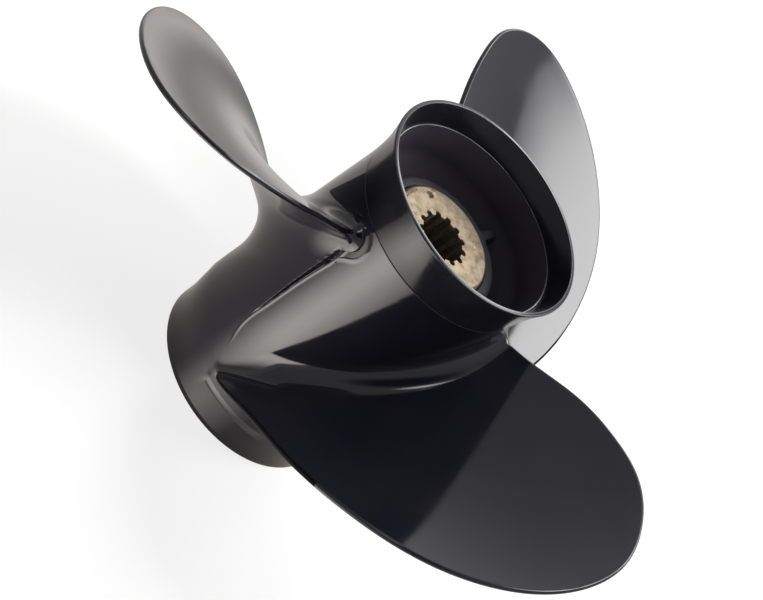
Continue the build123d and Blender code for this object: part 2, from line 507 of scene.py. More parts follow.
def barrelColumns():
    # angles across one sector from the ridge: evenly close beside it, then at t - k sin(2 pi t) of what
    # is left, which is close at both ends and wide between them
    near = np.arange(*barrel["fineColumns"])
    reach = np.radians(sector) * barrelRadius - (near[-1] - near[0])
    t = np.linspace(0, 1, barrel["wideColumns"] + 1)[1:-1]
    wide = near[-1] + reach * (t - barrel["bunching"] * np.sin(2 * np.pi * t))
    return np.degrees(np.concatenate([near, wide]) / barrelRadius)


def makeBarrel():
    # outer skin ((R + rise) cos a, (R + rise) sin a, z) on columns that follow the ridge, then the bore
    b = barrel
    frontRound, shoulderRound = b["frontRound"], b["shoulderRound"]
    across = barrelColumns()
    across = np.concatenate([across + k * sector for k in range(bladeCount)])
    shoulder = b["spigotBottom"]
    skinRows = np.concatenate([
        np.linspace(0.0, b["collarTop"] - 0.4, 10)[1:],
        np.linspace(b["collarTop"] - 0.2, b["collarTop"] + 0.4, 4),
        np.linspace(b["collarTop"] + 1, b["bevelTop"] - 0.6, 5),
        np.linspace(b["bevelTop"] - 0.3, b["bevelTop"] + 0.3, 4),
        np.linspace(b["bevelTop"] + 1.2, shoulder - 0.5, 92),
    ])
    rest = roundedProfile([
        (barrelRadius, shoulder, shoulderRound),
        (b["spigotRadius"], shoulder, 0.0),
        (b["spigotRadius"], barrelTop, 0.3),
        (b["mouthRadius"], barrelTop, 0.3),
        (b["innerRadius"], b["mouthTaper"], 0.0),
        (b["innerRadius"], b["recessDepth"], 0.2),
        (b["recessRadius"], b["recessDepth"], 0.0),
        (b["recessRadius"], 0.0, 0.2),
        (barrelRadius, 0.0, frontRound),
    ])
    arc = 7  # points on each rounded corner
    shoulderArc, inner, rimArc = rest[:arc], spreadOut(rest[arc - 1:1 - arc], 9.0), rest[-arc:]
    inner = inner[1:np.flatnonzero((inner == rimArc[0]).all(1))[0]]
    skinRows = skinRows[(skinRows > frontRound + 0.01) & (skinRows < shoulder - shoulderRound - 0.01)]
    skin = np.stack([np.full(len(skinRows), barrelRadius), skinRows], -1)
    radius, z = np.vstack([rimArc, skin, shoulderArc, inner]).T[..., None]
    outer = np.concatenate([np.ones(2 * arc + len(skinRows)), np.zeros(len(inner))])[:, None]
    angle = across[None, :] + ridgeAngle(z)
    points = polar(radius + (barrelTaper(z) + barrelRise(angle, z)) * outer, angle, z)
    shell = makePiece("barrel_shell", points.reshape(-1, 3), closedQuads(points), "casting",
                      paintMaterial, ["barrel"])
    mouth = b["mouthRadius"] - 0.05
    # the bore's faces take the coat with the painted fill light
    paintFaces(shell, paintedFillBoreMaterial, lambda radius, z: (radius < mouth) & (z < barrelTop - 0.6))


makeBarrel()


# ---- blades

blade = {
    "pitch": 318.0,
    "rootHeight": 83.2,
    "rake": (37.3, 8.3, -15.5),
    "shares": (0.0, 0.15, 0.35, 0.55, 0.73, 0.87, 0.96),
    "leading": (-66.9, -62.5, -49.0, -37.7, -25.8, -14.4, -3.2),
    "trailing": (37.9, 36.4, 36.4, 34.4, 30.9, 25.3, 19.2),
    "tip": 8.8,
    "tipRadius": 155.45,
    "hollow": (-6.5, 23.8, -16.3, -1.0),
    "rootRise": 2.0,
    "rootRisePower": 8,
    "rootThickness": 8.0,
    "tipThickness": 3.4,
    "thicknessPower": 0.8,
    "bulgePower": 1.5,
    "bulgeFade": 0.16,
    "edgeThickness": 2.4,
    "leadSharp": 0.88,
    "leadSharpEnd": 0.4,
    "edgeInset": 0.16,
    "outlineSteps": 1600,
    "outlineTail": 8.0,
    "shadedEdgeRadius": 115.0,
    "faceFillet": 10.0,
    "leadFillet": 4.2,
    "trailFillet": 8.0,
    "filletRamp": 0.21,
    "corners": (0.385, 0.645),
    "faceColumns": 72,
    "columnBunching": 0.6,
    "faceRows": 88,
    "rowBunching": 0.25,
    "rimSteps": 12,
    "filletSteps": (10, 24),
    "footShare": 0.66,
    "footBead": (0.32, 0.6, 0.42),
    "footSlit": (1.8, 1.1, 2.6),
    "footFrom": 0.93,
    "skirts": ((2.0, -0.07), (1.0, -1.3)),
}
climb = blade["pitch"] / (2 * np.pi)
bladeHeight = blade["tipRadius"] - barrelRadius


def shareOf(radius):
    # 0 at the barrel and 1 at the tip
    return (radius - barrelRadius) / bladeHeight


def edgeHalf(radius, place):
    # half of the edge's thickness: thinner towards the root on the leading side (place -1) only
    near = fade(shareOf(radius), blade["leadSharpEnd"], 0)
    return blade["edgeThickness"] / 2 * (1 - blade["leadSharp"] * near * (1 - place) / 2)


def meanSurface(x, y):
    # z = root height + a u + b u^2 + c u^3 + pitch * angle / turn, with u the share of the blade's
    # height; returns the point and the unit normal that faces aft
    radius, angle = np.hypot(x, y), np.arctan2(y, x)
    u = shareOf(radius)
    a, b, c = blade["rake"]
    z = blade["rootHeight"] + a * u + b * u**2 + c * u**3 + climb * angle
    rakeSlope = (a + 2 * b * u + 3 * c * u**2) / bladeHeight
    normal = unit(np.stack([
        -rakeSlope * np.cos(angle) + climb / radius * np.sin(angle),
        -rakeSlope * np.sin(angle) - climb / radius * np.cos(angle),
        np.ones_like(z),
    ], -1))
    return np.stack([x, y, z], -1), normal


def bladeOutline():
    # spline through the edge stations, moved in by half the edge's thickness; x and y only,
    # from below the root at the leading edge, over the tip, to below the root at the trailing edge
    radii = barrelRadius + bladeHeight * np.array(blade["shares"])
    radii = np.concatenate([radii, [blade["tipRadius"]], radii[::-1]])
    angles = (*blade["leading"], blade["tip"], *blade["trailing"][::-1])
    stations = polar(radii, angles, 0)[:, :2]
    knots = lengthsAlong(stations)
    outline = throughPoints(knots, stations, np.linspace(0, knots[-1], blade["outlineSteps"]))
    ends = outline[[0, -1]]
    before, after = ends + unit(ends - outline[[1, -2]]) * blade["outlineTail"]
    outline = np.vstack([before, outline, after])
    along = unit(np.gradient(outline, axis=0))
    outward = np.stack([along[:, 1], -along[:, 0]], -1)
    radius = np.hypot(*outline.T)
    side = np.where(np.arange(len(radius)) < np.argmax(radius), -1, 1)
    return outline - outward * (edgeHalf(radius, side) + blade["edgeInset"])[:, None]


edgeCurve = bladeOutline()
edgeRadius = np.hypot(*edgeCurve.T)
edgeLengths = lengthsAlong(edgeCurve)
tipPlace = int(np.argmax(edgeRadius))


def edgeAt(radius, side):
    # inset edge point at a radius, on the leading (0) or trailing (1) side
    part = slice(0, tipPlace + 1) if side == 0 else slice(None, tipPlace - 1, -1)
    order = edgeRadius[part]
    return np.stack([np.interp(radius, order, edgeCurve[part][:, k]) for k in (0, 1)], -1)


def alongEdge(places):
    # inset edge points at lengths along it
    return np.stack([np.interp(places, edgeLengths, edgeCurve[:, k]) for k in (0, 1)], -1)


def edgeAngles(radius):
    # angles of the leading and trailing edges at a radius
    lead, trail = edgeAt(radius, 0), edgeAt(radius, 1)
    return np.arctan2(lead[..., 1], lead[..., 0]), np.arctan2(trail[..., 1], trail[..., 0])


def chordPlace(x, y):
    # -1 at the leading edge, 0 in mid-chord and 1 at the trailing edge
    radius, angle = np.hypot(x, y), np.degrees(np.arctan2(y, x))
    held = np.clip(radius, barrelRadius - 6, edgeRadius[tipPlace] - 0.01)
    lead, trail = np.degrees(edgeAngles(held))
    return np.clip((2 * angle - lead - trail) / np.maximum(trail - lead, 1.0), -1, 1)


def hollowAt(x, y):
    # how hollow the aft face is: (h0 + h1 u + h2 u^2 + h3 u^3 - rise (1 - u)^8)(1 - c^2), negative
    # near the root
    u = np.clip(shareOf(np.hypot(x, y)), 0, 1)
    depth = sum(term * u**power for power, term in enumerate(blade["hollow"]))
    depth = depth - blade["rootRise"] * (1 - u) ** blade["rootRisePower"]
    return depth * (1 - chordPlace(x, y) ** 2)


def aftFace(x, y):
    # mean surface + half the edge's thickness along the normal, lowered by the hollow
    point, normal = meanSurface(x, y)
    point = point + edgeHalf(np.hypot(x, y), chordPlace(x, y))[..., None] * normal
    point[..., 2] -= hollowAt(x, y)
    return point


def frontFace(x, y):
    # mean surface less half the edge's thickness and a bulge (1 - c^2)^1.5 that fades out at the tip,
    # along the normal, and lowered by the hollow where there is one
    u = np.clip(shareOf(np.hypot(x, y)), 0, 1)
    b = blade
    bulge = (1 - chordPlace(x, y) ** 2) ** b["bulgePower"] * fade(u, 1, 1 - b["bulgeFade"])
    thick = b["rootThickness"] + (b["tipThickness"] - b["rootThickness"]) * u ** b["thicknessPower"]
    point, normal = meanSurface(x, y)
    half = edgeHalf(np.hypot(x, y), chordPlace(x, y))
    point = point - (half + (thick - b["edgeThickness"]) * bulge)[..., None] * normal
    point[..., 2] -= np.maximum(hollowAt(x, y), 0)
    return point


def rimPoints(spots, along, turns):
    # round edge: centre + half of its thickness (cos t N + sin t M), with M = T x N pointing outwards
    centre, normal = meanSurface(spots[:, 0], spots[:, 1])
    ahead, _ = meanSurface(*(spots + along * 0.05).T)
    out = unit(np.cross(ahead - centre, normal))
    turns = np.asarray(turns)[None, :, None]
    half = edgeHalf(np.hypot(*spots.T), chordPlace(*spots.T))[:, None, None]
    return centre[:, None] + half * (np.cos(turns) * normal[:, None] + np.sin(turns) * out[:, None])


def faceSpots(radius, shares):
    # (r cos a, r sin a) with the angle going from the leading to the trailing edge's at each radius
    start, end = edgeAngles(radius)
    angle = start + shares * (end - start)
    return radius * np.cos(angle), radius * np.sin(angle)


def rootLoop(radius, shares, turns):
    # closed loop round the blade, one radius for each place: aft face, trailing edge, front face,
    # leading edge
    n, k = len(shares), len(turns)
    aft, trail, front, lead = radius[:n], radius[n:n + k], radius[n + k:2 * n + k], radius[2 * n + k:]

    def edgeSpots(r, side, order):
        spots = edgeAt(r, side)
        direction = unit(edgeAt(r + 0.5, side) - spots)
        grid = rimPoints(spots, direction * (1 if side == 0 else -1), order)
        return grid[np.arange(len(order)), np.arange(len(order))]

    aftSide, frontSide = aftFace(*faceSpots(aft, shares)), frontFace(*faceSpots(front, shares[::-1]))
    return np.vstack([aftSide, edgeSpots(trail, 1, turns), frontSide, edgeSpots(lead, 0, turns[::-1])])


def filletTops(shares, rimCount):
    # radius of the fillet's top at each place of the loop: less high at both edges than along the faces
    b = blade
    height = b["faceFillet"] - (b["faceFillet"] - b["leadFillet"]) * fade(shares, b["filletRamp"], 0)
    height = height - (b["faceFillet"] - b["trailFillet"]) * fade(shares, 1 - b["filletRamp"], 1)
    taper = barrelTaper(meanSurface(*faceSpots(barrelRadius + height, shares))[0][:, 2])
    face = height + barrelRadius + taper
    trail, lead = (np.full(rimCount, b[name] + barrelRadius + taper[end])
                   for name, end in (("trailFillet", -1), ("leadFillet", 0)))
    return np.concatenate([face, trail, face[::-1], lead])


def planform(shares, rootRadius):
    # grid of (x, y): Coons patch (1 - w) bottom + w top + (1 - s) left + s right - corners, between the
    # root line, both edges and the tip's arc; and the places along the edge of all but the root line
    start = np.interp(rootRadius[0], edgeRadius[:tipPlace], edgeLengths[:tipPlace])
    end = np.interp(-rootRadius[-1], -edgeRadius[tipPlace:], edgeLengths[tipPlace:])
    cut1, cut2 = (start + c * (end - start) for c in blade["corners"])
    v = np.linspace(0, 1, blade["faceRows"] + 1)
    v = (1 - blade["rowBunching"]) * v + blade["rowBunching"] * v * v
    leftPlaces, rightPlaces = start + v * (cut1 - start), end + v * (cut2 - end)
    topPlaces = cut1 + shares * (cut2 - cut1)
    left, right, top = alongEdge(leftPlaces), alongEdge(rightPlaces), alongEdge(topPlaces)
    bottom = np.stack(faceSpots(rootRadius, shares), -1)
    s, w = shares[None, :, None], v[:, None, None]
    plan = (1 - w) * bottom[None] + w * top[None] + (1 - s) * left[:, None] + s * right[:, None]
    plan -= (1 - w) * ((1 - s) * bottom[0] + s * bottom[-1]) + w * ((1 - s) * top[0] + s * top[-1])
    return plan, np.concatenate([leftPlaces, topPlaces[1:-1], rightPlaces[::-1]])


def unrolled(points):
    # (R * angle, z, height over the barrel)
    angle, height = np.arctan2(points[:, 1], points[:, 0]), np.hypot(*points[:, :2].T) - barrelRadius
    return np.stack([angle * barrelRadius, points[:, 2], height - barrelTaper(points[:, 2])], -1)


def rootFillet(loop, above, shares, rimCount):
    # unrolled, an arc tangent to the wall at its top and to the barrel at its foot, and two rows that dip
    # under the barrel's skin; the ridge's bead and slit follow the foot round the trailing corner
    b, n = blade, len(shares)
    wallTop = unrolled(loop)
    direction = unrolled(above) - wallTop
    foot = wallTop - direction * (wallTop[:, 2:] / direction[:, 2:])
    step = np.roll(foot, -1, 0) - np.roll(foot, 1, 0)
    outward = unit(np.stack([step[:, 1], -step[:, 0], np.zeros(len(step))], -1))
    if ((foot - foot.mean(0)) * outward).sum() < 0:
        outward = -outward
    reach = np.linalg.norm(wallTop - foot, axis=1, keepdims=True)
    ground = foot + outward * reach
    up = (wallTop - foot) / reach
    opening = np.arccos(np.clip((up * outward).sum(1), -1, 1))
    coarse, fine = b["filletSteps"]
    upper, lower = np.linspace(0, b["footShare"], coarse + 1), np.linspace(b["footShare"], 1, fine + 1)
    t = np.concatenate([upper[1:], lower[1:]])[:, None, None]
    arc = roundArc(wallTop, foot, ground, np.sin(opening / 2)[None, :, None], t)
    past = ground[:, 0] - np.radians(ridgeAngle(ground[:, 1])) * barrelRadius
    follow = fade(past, -1, 2)
    follow[:n], follow[2 * n + rimCount:] = fade(shares, b["footFrom"], 1), 0
    away = np.linalg.norm((arc - ground)[..., :2], axis=-1)
    height, centreAway, width = b["footBead"]
    arc[..., 2] += follow * height * np.exp(-(((away - centreAway) / width) ** 2) / 2)
    depth, startAway, width = b["footSlit"]
    q = np.clip((away - startAway) / width, 0, 1)
    arc[..., 2] -= follow * depth * 4 * q * (1 - q)
    (outer, outerHeight), (inner, innerHeight) = b["skirts"]
    sunk = np.stack([ground + outward * outer, ground + outward * inner])
    sunk[0, :, 2], sunk[1, :, 2] = outerHeight, innerHeight
    skirt = np.concatenate([arc, sunk])
    ease = np.concatenate([fade(t[:, 0, 0], 0, 1), [1.0, 1.0]])[:, None]
    angle = np.degrees(skirt[..., 0] / barrelRadius)
    rise = barrelTaper(skirt[..., 1]) + barrelRise(angle, skirt[..., 1], 1 - follow) * ease
    return polar(barrelRadius + skirt[..., 2] + rise, angle, skirt[..., 1])


def makeBladeMesh():
    # one blade as points, quads, the cells of the cap and the numbers of the faces with the painted-shade
    # coat
    t = np.linspace(0, 1, blade["faceColumns"] + 1)
    bunching = blade["columnBunching"]
    shares = (1 - bunching) * t + bunching * (1 - np.cos(np.pi * t)) / 2
    turns = np.linspace(0, np.pi, blade["rimSteps"] + 1)[1:-1]
    n, k = len(shares), len(turns)
    topRadius = filletTops(shares, k)
    plan, places = planform(shares, topRadius[:n])
    aft, front = aftFace(plan[..., 0], plan[..., 1]), frontFace(plan[..., 0], plan[..., 1])
    spots = alongEdge(places)
    rim = rimPoints(spots, alongEdge(places + 0.3) - alongEdge(places - 0.3), turns)
    loop, above = (rootLoop(topRadius + step, shares, turns) for step in (0, 0.2))
    skirt = rootFillet(loop, above, shares, k)
    grids = [aft, front, rim, skirt]
    firsts = np.cumsum([0] + [grid[..., 0].size for grid in grids])
    aftIndex, frontIndex, rimIndex, skirtIndex = map(numbered, grids, firsts)
    aftBorder, frontBorder = (np.concatenate([grid[:, 0], grid[-1, 1:-1], grid[::-1, -1]])[:, None]
                              for grid in (aftIndex, frontIndex))
    loopIndex = np.concatenate([aftIndex[0], rimIndex[-1], frontIndex[0][::-1], rimIndex[0][::-1]])
    quads = [
        gridQuads(aftIndex)[:, ::-1],
        gridQuads(frontIndex),
        gridQuads(np.hstack([aftBorder, rimIndex, frontBorder])),
        gridQuads(np.vstack([loopIndex[None], skirtIndex]), wrapColumns=True),
    ]
    # cap inside the barrel's wall: a ladder between the two sides of the last loop
    last = skirtIndex[-1]
    size = len(last)
    first = 2 * n + k + k // 2
    steps = np.arange(size // 2 + 1)
    ahead, behind = last[(first + steps) % size], last[(first - steps) % size]
    ladder = np.stack([ahead[:-1], ahead[1:], behind[1:], behind[:-1]], -1)
    # the leading edge's rim near the root gets a near-black coat with almost no gloss: painted shade, so
    # that it shows no reflection there
    shadedEdgeRows = np.flatnonzero(np.hypot(*spots[:blade["faceRows"]].T) < blade["shadedEdgeRadius"])
    shadedEdgeFaces = len(quads[0]) + len(quads[1]) + np.arange(len(shadedEdgeRows) * (k + 1))
    points = np.vstack([grid.reshape(-1, 3) for grid in grids])
    return points, np.vstack(quads), ladder, shadedEdgeFaces


def makeBlades():
    # the same blade three times, turned by a third of a turn each
    points, quads, ladder, shadedEdgeFaces = makeBladeMesh()
    faces = quads.tolist()
    for cell in ladder.tolist():
        faces.append(list(dict.fromkeys(cell)))
    for k in range(bladeCount):
        piece = makePiece(f"blade_{k + 1}_skin", turned(points, k * sector), faces, "casting",
                          paintMaterial, [f"blade_{k + 1}"])
        # the leading edge's rim near the root takes the painted-shade coat
        shadedEdge = np.zeros(len(faces), np.int32)
        shadedEdge[shadedEdgeFaces] = 1
        piece.data.materials.append(shadedEdgeMaterial)
        piece.data.polygons.foreach_set("material_index", shadedEdge)


makeBlades()


# ---- diffuser ring

ring = {
    "flareRadius": 49.8,
    "flareRound": 0.6,
    "mouthRound": 0.35,
    "bottomRadius": 45.15,
    "lip": 2.0,
    "lipDrop": 0.22,
    "ledge": 138.7,
    "outerSlopes": (0.05, 0.33),
    "innerSlopes": (0.30, 0.38),
    "columns": 256,
}


def flareCurve(startRadius, startZ, endRadius, endZ, slopes, steps):
    # cubic r(z) with the given slopes dr/dz at both ends
    t = np.linspace(0, 1, steps + 1)
    length = endZ - startZ
    r = (2 * t**3 - 3 * t**2 + 1) * startRadius + (t**3 - 2 * t**2 + t) * length * slopes[0]
    r += (3 * t**2 - 2 * t**3) * endRadius + (t**3 - t**2) * length * slopes[1]
    return np.stack([r, startZ + t * length], -1)


def makeRing():
    # closed outline revolved: flared outside, rounded lip, flared inside down to the barrel's spigot
    g = ring
    bottom, top, flare = barrel["spigotBottom"], high("diffuser_ring", 2), g["flareRadius"]
    outside = flareCurve(g["bottomRadius"], bottom + 0.35, flare, top, g["outerSlopes"], 30)[:-3]
    inner = flareCurve(barrel["spigotRadius"], g["ledge"], flare - g["lip"], top, g["innerSlopes"], 20)
    corners = np.vstack([
        np.column_stack([outside, np.zeros(len(outside))]),
        [(flare, top - g["lipDrop"], g["flareRound"]), (flare - g["lip"], top, g["mouthRound"])],
        np.column_stack([inner[-4::-1], np.zeros(len(inner) - 3)]),
        [(barrel["spigotRadius"], bottom + 0.2, 0.0), (g["bottomRadius"] - 0.4, bottom + 0.1, 0.15)],
    ])
    profile = spreadOut(roundedProfile(corners), 1.5)
    points, faces = revolved(profile, g["columns"])
    piece = makePiece("flared_ring", points, faces, "casting", paintMaterial,
                      ["diffuser_ring"])
    lipBottom = top - g["flareRound"]
    paintFaces(piece, satinMaterial, lambda radius, z: z < lipBottom)


makeRing()


# ---- inner hub and ribs

hub = {"boreRadius": 25.2, "outerRound": 3.0, "boreRound": 0.6, "columns": 192}


def makeHub():
    # thick tube revolved, with rounded ends
    bottom, top, outer = low("inner_hub", 2), high("inner_hub", 2), high("inner_hub", 0)
    corners = [
        (outer, bottom, hub["outerRound"]), (outer, top, hub["outerRound"]),
        (hub["boreRadius"], top, hub["boreRound"]), (hub["boreRadius"], bottom, hub["boreRound"]),
    ]
    points, faces = revolved(spreadOut(roundedProfile(corners, 8), 6.0), hub["columns"])
    makePiece("hub_tube", points, faces, "casting", shadedHubMaterial, ["inner_hub"])


makeHub()
# the ribs take the same painted-shade coat as the inner hub
for k in range(bladeCount):
    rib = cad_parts[f"rib_{k + 1}"]
    rib.data.materials.clear()
    rib.data.materials.append(shadedHubMaterial)


# ---- splined sleeve

sleeve = {
    "flangeTop": 122.7,
    "flangeThickness": 6.0,
    "bodyRadius": 17.5,
    "pilotRadius": 14.2,
    "pilotDepth": 10.0,
    "grooves": 13,
    "majorRadius": 12.65,
    "minorRadius": 10.6,
    "grooveWidth": 2.9,
    "grooveAngle": 7.6,
    "faceRows": 44,
    "stake": (20.4, -178.5),
    "stakeRadii": (0.7, 1.9),
    "stakeDepth": 1.5,
    "burr": (22.0, 173.9),
    "burrHeight": 0.45,
    "arcGroove": (22.75, -160.0, -112.0),
    "arcDepth": 0.5,
    "dots": ((19.4, 67.7), (18.4, 86.0), (18.4, 98.0)),
    "dotRadius": 0.8,
    "dotDepth": 0.4,
}


def splineOutline():
    # one lobe: half of a round groove end, wall and half of a tooth's arc, mirrored, then turned by one
    # step for each groove; returned as angle and radius, with the angle always growing
    half = sleeve["grooveWidth"] / 2
    centre = sleeve["majorRadius"] - half
    t = np.radians(np.linspace(0, 88, 9))
    cap = np.stack([centre + half * np.cos(t), half * np.sin(t)], -1)
    mouth = np.sqrt(sleeve["minorRadius"] ** 2 - half**2)
    wall = np.stack([np.linspace(centre, mouth + 0.15, 3), np.full(3, half)], -1)
    side = np.vstack([cap, wall])
    angle = np.degrees(np.arctan2(side[:, 1], side[:, 0]))
    radius = np.hypot(*side.T)
    step = 360 / sleeve["grooves"]
    tooth = np.linspace(np.degrees(np.arcsin(half / sleeve["minorRadius"])) + 0.8, step / 2, 7)
    angle = np.concatenate([angle, tooth])
    radius = np.concatenate([radius, np.full(len(tooth), sleeve["minorRadius"])])
    angle = np.concatenate([-angle[:0:-1], angle])[1:]
    radius = np.concatenate([radius[:0:-1], radius])[1:]
    turns = np.arange(sleeve["grooves"])[:, None] * step + sleeve["grooveAngle"]
    return (angle[None] + turns).ravel(), np.tile(radius, sleeve["grooves"])


def flangeFace(angle, radius):
    # drop of the flange's face under its plane: a punched stake with its burr, an arc groove and dots,
    # each a smooth step or a bell of the distance to its middle
    g = sleeve
    spots = polar(radius, angle, 0)

    def away(place):
        return np.hypot(*(spots - polar(*place, 0)).T[:2])

    flat, rim = g["stakeRadii"]
    drop = g["stakeDepth"] * fade(away(g["stake"]), rim, flat)
    drop = drop - g["burrHeight"] * np.exp(-(away(g["burr"]) ** 2))
    arcRadius, start, end = g["arcGroove"]
    past = (angle - start) % 360
    within = fade(past, 0, 2) * fade(past, end - start, end - start - 2)
    drop = drop + g["arcDepth"] * within * fade(np.abs(radius - arcRadius), 0.55, 0.15)
    for dot in g["dots"]:
        drop = drop + g["dotDepth"] * fade(away(dot), g["dotRadius"], 0)
    return drop


def makeSleeve():
    # rows of (radius, z) on the spline's own angles, closed into a ring: down the flange and body, up the
    # pilot bore and the spline, and out over the flange's face
    g = sleeve
    flange, bottom, top = high("splined_sleeve", 0), low("splined_sleeve", 2), g["flangeTop"]
    body, pilot, thick = g["bodyRadius"], g["pilotRadius"], g["flangeThickness"]
    faceEdge = flange - 1.35
    angle, inner = splineOutline()
    outside = np.array([
        (faceEdge, 0.0), (flange - 1.05, 0.12), (flange - 0.7, 0.42), (flange - 0.35, 0.9),
        (flange - 0.12, 1.35), (flange, 1.85), (flange, 3.5), (flange, thick - 0.3),
        (flange - 0.3, thick), (body + 2, thick), (body + 0.3, thick), (body, thick + 0.3),
    ]) * (1, -1) + (0, top)
    down = np.linspace(top - thick - 8, bottom + 0.5, 10)
    pilotEnd = bottom + g["pilotDepth"]
    front = [(body - 0.5, bottom), (pilot + 0.5, bottom), (pilot, bottom + 0.5), (pilot, pilotEnd)]
    plain = np.vstack([outside, np.column_stack([np.full(len(down), body), down]), front])
    splineHeights = (pilotEnd, bottom + 40, bottom + 75, top - 4, top - 0.35)
    rows = [*plain, *((inner, z) for z in splineHeights), (inner + 0.08, top - 0.12)]
    for share in np.arange(g["faceRows"]) / g["faceRows"]:
        radius = inner + 0.25 + share * (faceEdge - inner - 0.25)
        rows.append((radius, top - flangeFace(angle, radius)))
    points = np.stack([polar(radius, angle, z) for radius, z in rows])
    piece = makePiece("brass_sleeve", points.reshape(-1, 3), closedQuads(points)[:, ::-1], "sleeve",
                      brassMaterial, ["splined_sleeve"], 30.0)
    # the spline's bore takes the painted-shade brass
    splineRadius = g["majorRadius"] + 0.1
    paintFaces(piece, shadedSplineMaterial, lambda radius, z: (radius < splineRadius) & (z < top - 0.3))


makeSleeve()


# ---- rubber bush

bush = {"outerRadius": 25.15, "innerRadius": 17.55, "chamfer": 2.0, "dip": 0.8, "columns": 128}


def makeBush():
    # thick tube revolved, with chamfered outer corners and a shallow dip in both ends
    bottom, top = low("rubber_bush", 2), high("rubber_bush", 2)
    outer, inner, cut, dip = bush["outerRadius"], bush["innerRadius"], bush["chamfer"], bush["dip"]
    middle = (outer + inner) / 2
    corners = [
        (outer - cut, bottom, 0.5), (outer, bottom + cut, 0.5), (outer, top - cut, 0.5),
        (outer - cut, top, 0.5), (middle, top - dip, 1.5), (inner, top, 0.2), (inner, bottom, 0.2),
        (middle, bottom + dip, 1.5),
    ]
    points, faces = revolved(spreadOut(roundedProfile(corners, 4), 8.0), bush["columns"])
    makePiece("bush_rubber_body", points, faces, "bush", rubberMaterial, ["rubber_bush"])


makeBush()


# ---- floor, lights and camera

def seenDirectly(tree):
    # 1 for a ray from the camera, else 0
    return node(tree, "ShaderNodeLightPath").outputs["Is Camera Ray"]


def seenInMirror(tree):
    # 1 for a ray that a glossy or a clear surface sends on, else 0
    rays = node(tree, "ShaderNodeLightPath").outputs
    return math(tree, "MAXIMUM", rays["Is Glossy Ray"], rays["Is Transmission Ray"])


def alongAim(tree, space, azimuth, elevation):
    # dot product of the coordinates with a direction
    place = coordinates(tree, space)
    return vectorMath(tree, "DOT_PRODUCT", place, aim(azimuth, elevation)).outputs["Value"]


def roundRamp(tree, vector, stops, colour=(1, 1, 1)):
    # the colour times a share that follows the vector's angle round Z, by stops of angle and share
    sweep = node(tree, "ShaderNodeTexGradient", vector, gradient_type="RADIAL")
    ramp = node(tree, "ShaderNodeValToRGB", sweep.outputs["Fac"])
    elements = ramp.color_ramp.elements
    elements.remove(elements[1])
    for i, (angle, share) in enumerate(stops):
        turn = (angle + 180) % 360 / 360
        spot = elements.new(turn) if i else elements[0]
        spot.position = turn
        spot.color = (*(share * part for part in colour), 1)
    return ramp.outputs["Color"]


def glowMaterial(name):
    # a glow that lets through what is behind it, so that its faded edges aren't dark
    material, tree = newMaterial(name)
    tree.nodes.clear()
    glow, clear = node(tree, "ShaderNodeEmission"), node(tree, "ShaderNodeBsdfTransparent")
    both = node(tree, "ShaderNodeAddShader", glow.outputs[0], clear.outputs[0])
    node(tree, "ShaderNodeOutputMaterial", Surface=both.outputs[0])
    return material, tree


def addToStage(name, points, faces, material, seen=False):
    # mesh in metres that isn't part of the propeller
    mesh = bpy.data.meshes.new(name)
    mesh.from_pydata(points.reshape(-1, 3).tolist(), [], faces.tolist())
    mesh.materials.append(material)
    piece = bpy.data.objects.new(name, mesh)
    bpy.context.scene.collection.objects.link(piece)
    piece.visible_camera = seen
    return piece


floorSettings = {
    "size": 6.0,
    "drop": 0.0002,
    "colour": (0.3, 0.297, 0.294),
    "directLift": 0.8,
    "liftAim": (135.0, 0.0),
    "liftNear": (0.19, 0.28, 0.42, 0.2),
    "liftFar": (0.45, 1.0, 0.0, 1.05),
    "liftColours": ((1.0, 1.0, 1.0), (1.0, 0.935, 0.87)),
}


def makeFloor():
    # plain pale sheet under the front rim, lifted a little towards white where it is seen directly;
    # its mirror image is darker beside the object and lighter further off behind it
    f = floorSettings
    material, tree = newMaterial("pale_floor")
    byMirror = seenInMirror(tree)
    along = alongAim(tree, "Object", *f["liftAim"])
    near, far = spread(tree, along, *f["liftNear"]), spread(tree, along, *f["liftFar"])
    lift = mix(tree, byMirror, 0.0, math(tree, "ADD", near, far), "FLOAT")
    feedShader(tree, {
        "Base Color": f["colour"],
        "Roughness": 0.9,
        "Specular IOR Level": 0.0,
        "Emission Strength": mix(tree, seenDirectly(tree), lift, f["directLift"], "FLOAT"),
        "Emission Color": mix(tree, byMirror, *f["liftColours"]),
    })
    corners = polar(f["size"] / np.sqrt(2), np.array([225, 315, 45, 135]), -f["drop"])
    addToStage("floor", corners, np.arange(4)[None], material, seen=True)


sky = {
    "fill": 0.2,
    "glow": 1.5,
    "stops": (
        (0, 0.37), (20, 0.4), (60, 0.4), (108, 0.42), (122, 0.8), (135, 1.0), (150, 0.77),
        (160, 0.57), (172, 0.43), (185, 0.35), (240, 0.3), (290, 0.35), (345, 0.3),
    ),
    "darkSpot": (303.0, 43.0),
    "darkReach": (26.0, 12.0),
    "glint": (260.5, 56.5),
    "glintReach": (7.0, 2.0),
    "glintGlow": 6.0,
}


def makeWorld():
    # pale backdrop whose glow changes round the object, with a dark patch and one small lamp high up;
    # an even fill for matte surfaces and plain white behind everything
    world = bpy.data.worlds.new("studio")
    bpy.context.scene.world = world
    world.use_nodes = True
    tree = world.node_tree

    def spot(where, reach, outside, within):
        edges = np.cos(np.radians(sky[reach]))
        return spread(tree, alongAim(tree, "Generated", *sky[where]), *edges, outside, within)

    glow = roundRamp(tree, coordinates(tree, "Generated"), sky["stops"])
    dark = spot("darkSpot", "darkReach", sky["glow"], 0.0)
    glint = spot("glint", "glintReach", 0.0, sky["glintGlow"])
    glow = math(tree, "MULTIPLY_ADD", glow, dark, glint)
    strength = mix(tree, seenInMirror(tree), sky["fill"], glow, "FLOAT")
    strength = mix(tree, seenDirectly(tree), strength, 1.0, "FLOAT")
    feedShader(tree, {"Strength": strength, "Color": (1, 1, 1)}, "Background")


